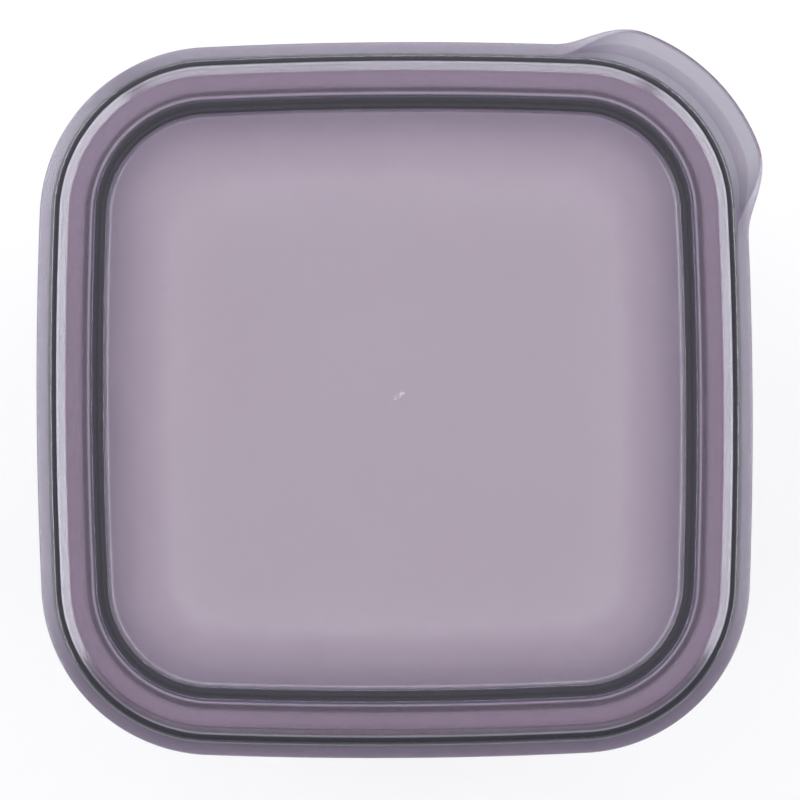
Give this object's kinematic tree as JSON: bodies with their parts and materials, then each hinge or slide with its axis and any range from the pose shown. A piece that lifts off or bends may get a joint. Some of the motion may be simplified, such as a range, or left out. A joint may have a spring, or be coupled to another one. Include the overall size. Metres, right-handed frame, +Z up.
{
  "type": "dry goods canister",
  "caption": "Square tapered see-through food canister with a press-on lid that has a recessed stacking panel and a corner pull tab.",
  "frame": {"origin": "middle of the base, on the surface that the canister stands on", "axes": "+Z up through the lid; the pull tab is at the +X +Y corner, and the sides face X and Y"},
  "size_m": [0.1056, 0.1056, 0.14],
  "materials": {
    "body_plastic": "injection-moulded polypropylene, clear mauve tint, smooth",
    "lid_plastic": "injection-moulded polypropylene, smoky lavender tint, satin"
  },
  "bodies": {
    "canister": {"canister_body": "body_plastic"},
    "lid": {"lid": "lid_plastic"}
  },
  "joints": [
    {"name": "lid_lift", "type": "slide", "parent": "canister", "child": "lid", "axis": [0, 0, 1], "range_m": [0, 0.06]}
  ]
}
